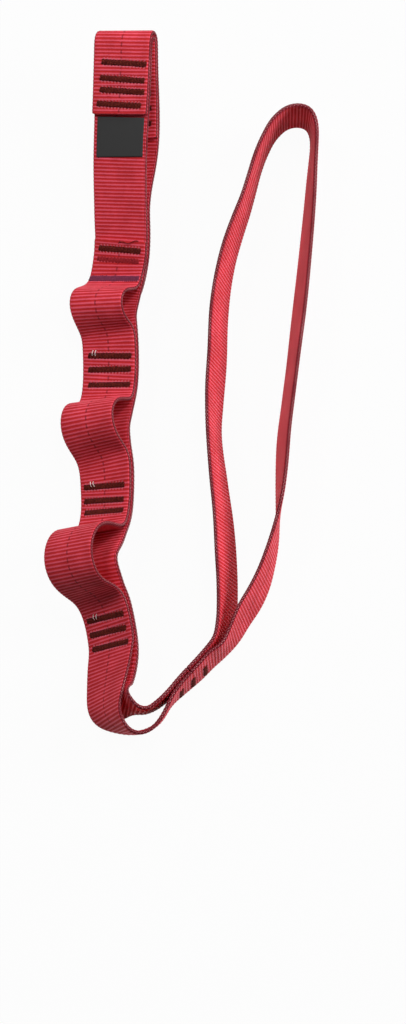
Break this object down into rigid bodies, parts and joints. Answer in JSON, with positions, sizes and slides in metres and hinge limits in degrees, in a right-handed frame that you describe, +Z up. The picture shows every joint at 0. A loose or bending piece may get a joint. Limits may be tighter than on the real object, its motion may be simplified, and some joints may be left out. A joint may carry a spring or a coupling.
{
  "type": "multi-loop strap",
  "caption": "Sewn flat-webbing strap with a clip eye, a chain of slack pockets and a long foot loop, for water and climbing gear.",
  "frame": {"origin": "middle of the strap's underside as it lies on a surface", "axes": "+Z up from the surface, +Y along the strap towards the eye, +X towards the foot loop's side"},
  "size_m": [0.1146, 0.3022, 0.0402],
  "materials": {
    "tape": "matte ribbed red webbing",
    "eye_tape": "matte ribbed red webbing, a little deeper",
    "thread": "dull maroon bar-tack thread",
    "label": "bare dark woven label"
  },
  "bodies": {
    "root": {"bar_tack_front_flap_1": "thread", "bar_tack_front_flap_2": "thread", "bar_tack_front_flap_3": "thread", "bar_tack_front_flap_4": "thread", "bar_tack_group_1_1": "thread", "bar_tack_group_1_2": "thread", "bar_tack_group_2_1": "thread", "bar_tack_group_2_2": "thread", "bar_tack_group_2_3": "thread", "bar_tack_group_3_1": "thread", "bar_tack_group_3_2": "thread", "bar_tack_group_3_3": "thread", "bar_tack_group_4_1": "thread", "bar_tack_group_4_2": "thread", "bar_tack_group_4_3": "thread", "bar_tack_junction_1": "thread", "bar_tack_junction_2": "thread", "bar_tack_junction_3": "thread", "bar_tack_rear_flap_1": "thread", "bar_tack_rear_flap_2": "thread", "bar_tack_rear_flap_3": "thread", "bar_tack_rear_flap_4": "thread", "eye_tape": "eye_tape", "label": "label", "main_tape_back": "tape", "main_tape_eye": "tape", "main_tape_foot_loop": "tape", "main_tape_pocket_1": "tape", "main_tape_pocket_2": "tape", "main_tape_pocket_3": "tape", "main_tape_throat_inner": "tape", "main_tape_throat_outer": "tape"}
  },
  "joints": []
}
